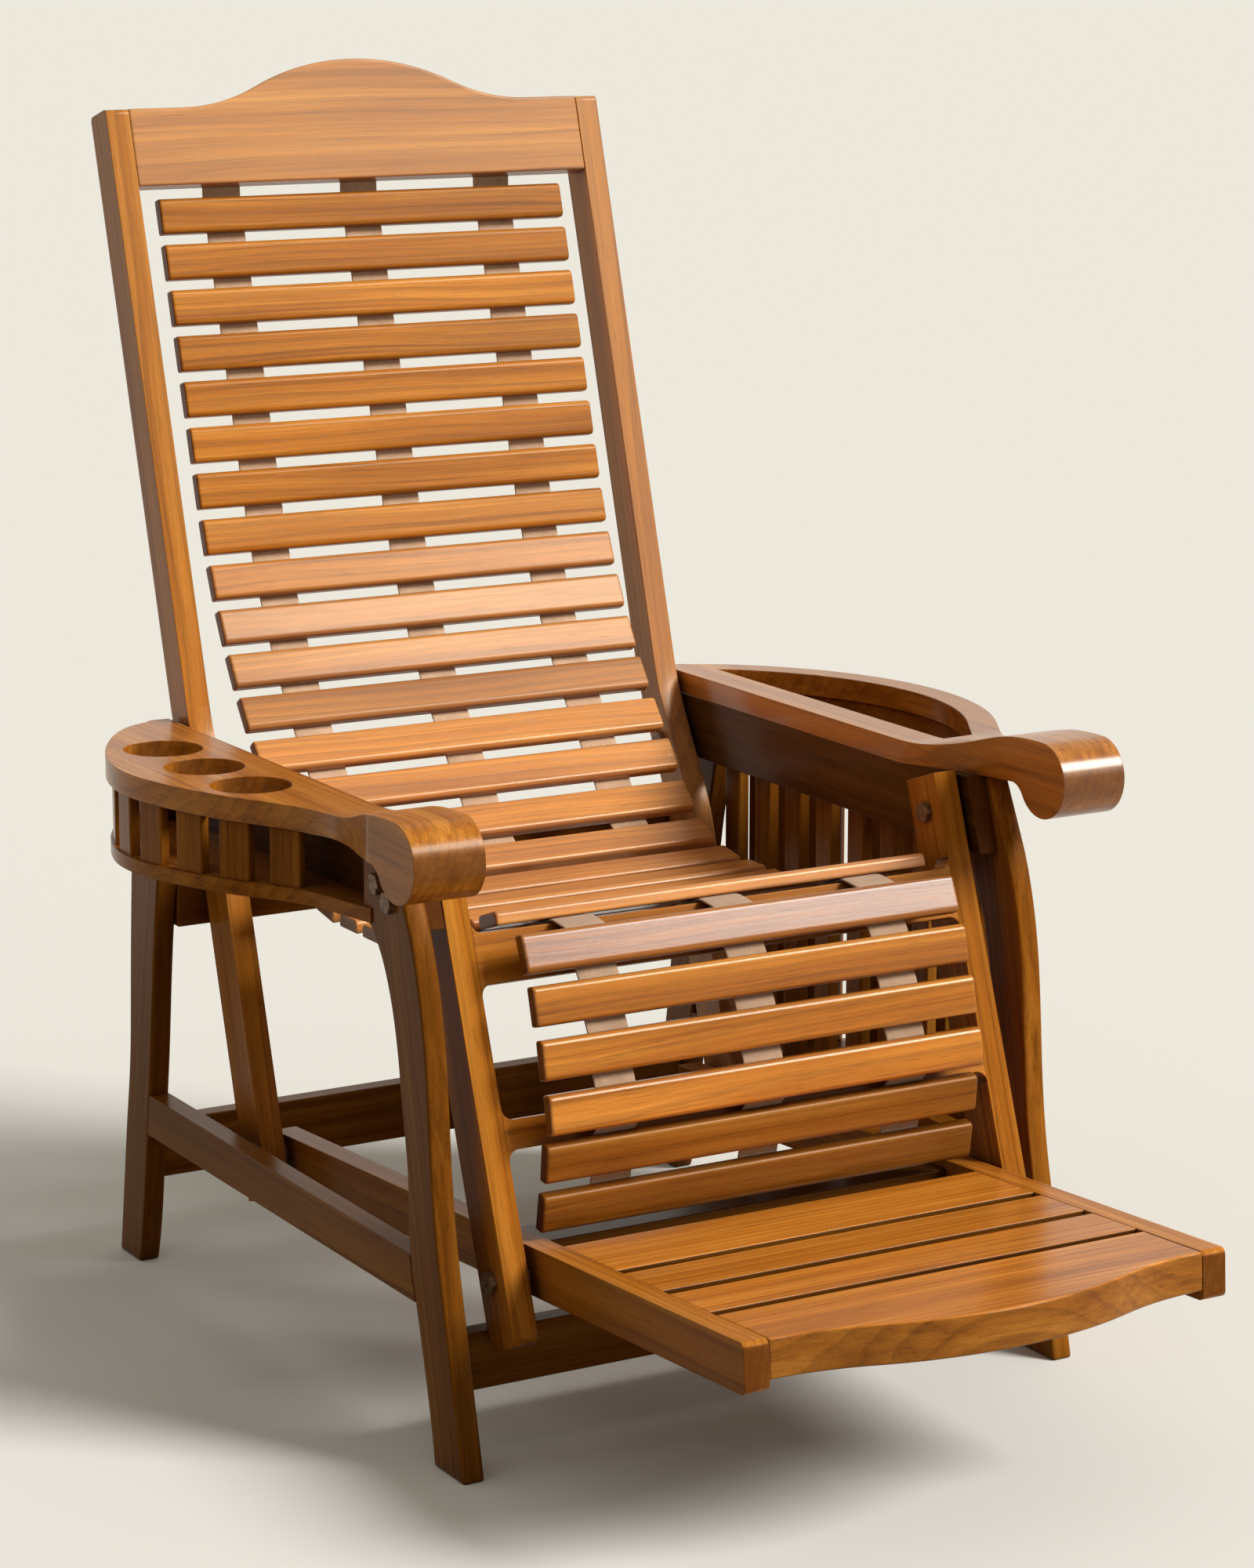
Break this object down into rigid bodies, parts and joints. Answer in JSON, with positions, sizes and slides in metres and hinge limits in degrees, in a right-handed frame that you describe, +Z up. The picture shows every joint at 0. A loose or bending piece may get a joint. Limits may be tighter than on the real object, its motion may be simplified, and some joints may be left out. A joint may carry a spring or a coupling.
{
  "type": "reclining planters chair",
  "caption": "Wooden reclining lounge chair with a slatted sling bed, bowed foot rest, cup holder arm and magazine rack arm.",
  "frame": {"origin": "centre of the footprint box on the floor", "axes": "+Z up, +Y towards the back of the chair, +X towards the magazine rack arm"},
  "size_m": [0.8621, 1.2062, 1.1623],
  "materials": {
    "frame_wood": "clear gloss varnish over teak",
    "slat_wood": "clear gloss varnish over teak",
    "webbing": "coarse woven tape",
    "bolt_steel": "dull plated"
  },
  "bodies": {
    "side_frames": {"front_leg_right": "frame_wood", "front_leg_left": "frame_wood", "rear_leg_right": "frame_wood", "rear_leg_left": "frame_wood", "side_stretcher_right": "frame_wood", "side_stretcher_left": "frame_wood", "inner_arm_board_right": "frame_wood", "inner_arm_board_left": "frame_wood", "cup_arm_top": "frame_wood", "cup_shelf": "frame_wood", "cup_slats": "frame_wood", "rack_arm_top": "frame_wood", "rack_band": "frame_wood", "rack_floor": "frame_wood", "rack_outer_slats": "frame_wood", "rack_inner_slats": "frame_wood", "front_cross_rail": "frame_wood", "rear_cross_rail": "frame_wood", "upper_rear_rail": "frame_wood", "frame_bolts": "bolt_steel", "frame_pivot_bolts": "bolt_steel"},
    "back_frame": {"back_stile_right": "frame_wood", "back_stile_left": "frame_wood", "crest_rail": "frame_wood", "back_slat_01": "slat_wood", "back_slat_02": "slat_wood", "back_slat_03": "slat_wood", "back_slat_04": "slat_wood", "back_slat_05": "slat_wood", "back_slat_06": "slat_wood", "back_slat_07": "slat_wood", "back_slat_08": "slat_wood", "back_slat_09": "slat_wood", "back_slat_10": "slat_wood", "back_slat_11": "slat_wood", "back_slat_12": "slat_wood", "back_straps": "webbing", "link_pivot_bolts": "bolt_steel"},
    "seat_rear": {"seat_rear_slats": "slat_wood", "seat_rear_straps": "webbing"},
    "seat_front": {"seat_front_slats": "slat_wood", "seat_front_straps": "webbing"},
    "leg_frame": {"leg_stile_left": "frame_wood", "leg_stile_right": "frame_wood", "leg_top_rail": "frame_wood", "leg_mid_rail": "frame_wood", "leg_slat_1": "slat_wood", "leg_slat_2": "slat_wood", "leg_slat_3": "slat_wood", "leg_slat_4": "slat_wood", "leg_slat_5": "slat_wood", "leg_slat_6": "slat_wood", "leg_straps": "webbing", "rest_pivot_bolts": "bolt_steel"},
    "foot_rest": {"rest_rail_right": "frame_wood", "rest_rail_left": "frame_wood", "rest_board_1": "frame_wood", "rest_board_2": "frame_wood", "rest_board_3": "frame_wood", "rest_bow_board": "frame_wood"}
  },
  "joints": [
    {"name": "back_recline", "type": "hinge", "parent": "side_frames", "child": "back_frame", "pos_m": [0, 0.39293, 0.478], "axis": [-1, 0, 0], "range_deg": [0, 25]},
    {"name": "leg_swing", "type": "hinge", "parent": "side_frames", "child": "leg_frame", "pos_m": [0, -0.08907, 0.496], "axis": [-1, 0, 0], "range_deg": [0, 25]},
    {"name": "foot_rest_level", "type": "hinge", "parent": "leg_frame", "child": "foot_rest", "pos_m": [0, -0.20507, 0.164], "axis": [-1, 0, 0], "range_deg": [-25, 0]},
    {"name": "seat_rear_flex", "type": "hinge", "parent": "back_frame", "child": "seat_rear", "pos_m": [0, 0.37953, 0.5269], "axis": [-1, 0, 0], "range_deg": [-12.5, 0]},
    {"name": "seat_front_flex", "type": "hinge", "parent": "leg_frame", "child": "seat_front", "pos_m": [0, -0.13107, 0.455], "axis": [-1, 0, 0], "range_deg": [-32.5, 0]}
  ],
  "couplings": [
    {"joint": "leg_swing", "follows": "back_recline", "ratio": 1},
    {"joint": "foot_rest_level", "follows": "back_recline", "ratio": -1},
    {"joint": "seat_rear_flex", "follows": "back_recline", "ratio": -0.5},
    {"joint": "seat_front_flex", "follows": "back_recline", "ratio": -1.3}
  ]
}
